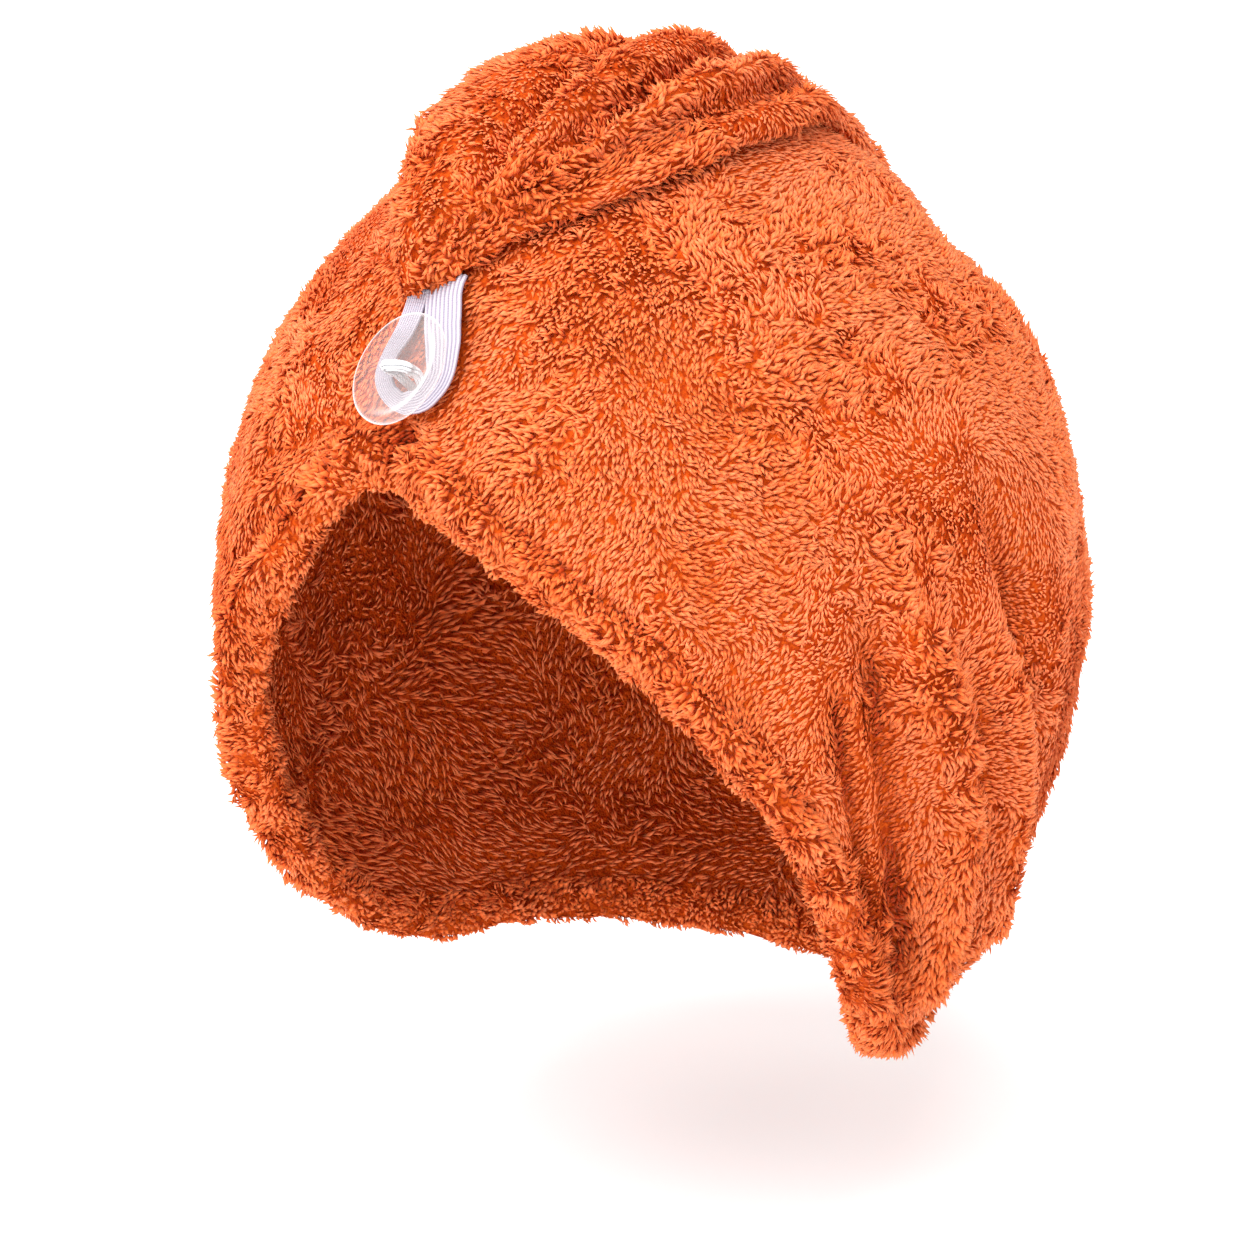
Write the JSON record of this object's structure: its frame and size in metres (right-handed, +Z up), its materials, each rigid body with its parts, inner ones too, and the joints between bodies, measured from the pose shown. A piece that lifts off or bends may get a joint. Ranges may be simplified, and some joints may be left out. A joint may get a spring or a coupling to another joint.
{
  "type": "hair towel",
  "caption": "Hair towel of deep-pile orange terry in its worn turban form, the twisted end laid over the crown and held by an elastic loop on a clear button.",
  "frame": {"origin": "the inside of the hood's crown, where the towel sits on top of the head", "axes": "+Z up, the face opening towards -Y, +X to the wearer's left"},
  "size_m": [0.1898, 0.2057, 0.2293],
  "materials": {
    "terry": "deep-pile microfibre terry, matt",
    "elastic": "ribbed woven elastic, white",
    "clear_plastic": "clear gloss plastic",
    "thread": "white cotton thread"
  },
  "bodies": {
    "root": {"hood": "terry", "tail": "terry", "loop": "elastic", "button": "clear_plastic", "button_thread": "thread"}
  },
  "joints": []
}
